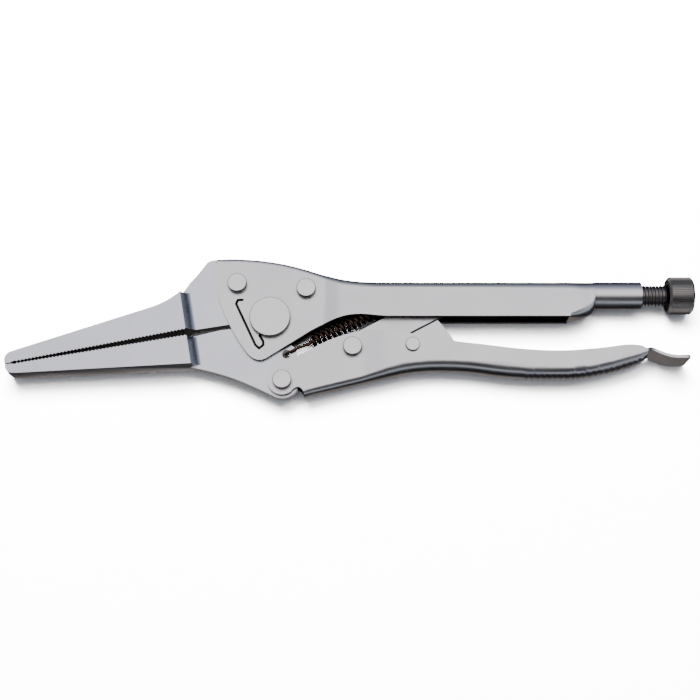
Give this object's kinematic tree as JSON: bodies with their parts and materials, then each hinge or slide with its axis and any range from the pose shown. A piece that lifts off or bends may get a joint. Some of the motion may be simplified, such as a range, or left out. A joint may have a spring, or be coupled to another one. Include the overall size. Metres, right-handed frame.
{
  "type": "long-nose locking pliers",
  "caption": "Long-nose locking pliers: toothed slim jaws, sheet-steel handles, over-centre toggle link, knurled adjusting screw, release lever and return spring.",
  "frame": {"origin": "on the axis of the main pivot rivet, at the outer face of its lower head, which the tool lies on", "axes": "+X along the fixed handle towards the adjusting knob, +Y from the moving handle towards the fixed handle, +Z along the pivot axes through the thickness, towards the side that faces up"},
  "size_m": [0.2509, 0.0527, 0.0138],
  "materials": {
    "satin_nickel": "satin nickel plate on pressed sheet steel",
    "plated_jaw": "satin nickel plate on forged steel",
    "rivet_steel": "plated, turned faces",
    "screw_steel": "rolled thread, darker plate",
    "knob_steel": "straight knurl, darker plate",
    "lever_steel": "satin nickel plate on thin sheet steel",
    "spring_wire": "oil-tempered spring wire, bronze brown"
  },
  "bodies": {
    "fixed_side": {"fixed_handle": "satin_nickel", "fixed_jaw": "plated_jaw", "jaw_rivet_front": "rivet_steel", "jaw_rivet_rear": "rivet_steel", "main_pivot_rivet": "rivet_steel", "tension_spring": "spring_wire"},
    "jaw": {"moving_jaw": "plated_jaw", "handle_pivot_rivet": "rivet_steel"},
    "grip": {"moving_handle": "satin_nickel", "link_rivet": "rivet_steel", "lever_rivet": "rivet_steel"},
    "link": {"toggle_link": "satin_nickel"},
    "lever": {"release_lever": "lever_steel"},
    "screw": {"adjusting_screw": "screw_steel"},
    "knob": {"knurled_knob": "knob_steel"}
  },
  "joints": [
    {"name": "jaw_open", "type": "hinge", "parent": "fixed_side", "child": "jaw", "pos_m": [0, 0, 0.006], "axis": [0, 0, 1], "range_deg": [0, 16], "deforming": ["tension_spring"]},
    {"name": "handle_swing", "type": "hinge", "parent": "jaw", "child": "grip", "pos_m": [0.00464, -0.0234, 0.006], "axis": [0, 0, 1], "range_deg": [-48, 0]},
    {"name": "link_swing", "type": "hinge", "parent": "grip", "child": "link", "pos_m": [0.03, -0.011, 0.006], "axis": [0, 0, 1], "range_deg": [0, 51]},
    {"name": "release_press", "type": "hinge", "parent": "grip", "child": "lever", "pos_m": [0.05175, -0.0104, 0.006], "axis": [0, 0, 1], "range_deg": [0, 3.5]},
    {"name": "screw_travel", "type": "slide", "parent": "fixed_side", "child": "screw", "axis": [1, 0, 0], "range_m": [0, 0.0101]},
    {"name": "knob_turn", "type": "hinge", "parent": "screw", "child": "knob", "pos_m": [0.1515, 0.00955, 0.006], "axis": [1, 0, 0], "range_deg": [0, 2880]}
  ],
  "couplings": [
    {"joint": "handle_swing", "follows": "jaw_open", "ratio": -2.9628},
    {"joint": "link_swing", "follows": "jaw_open", "ratio": 3.1634},
    {"joint": "screw_travel", "follows": "knob_turn", "m_per_rad": 0.00019894}
  ]
}
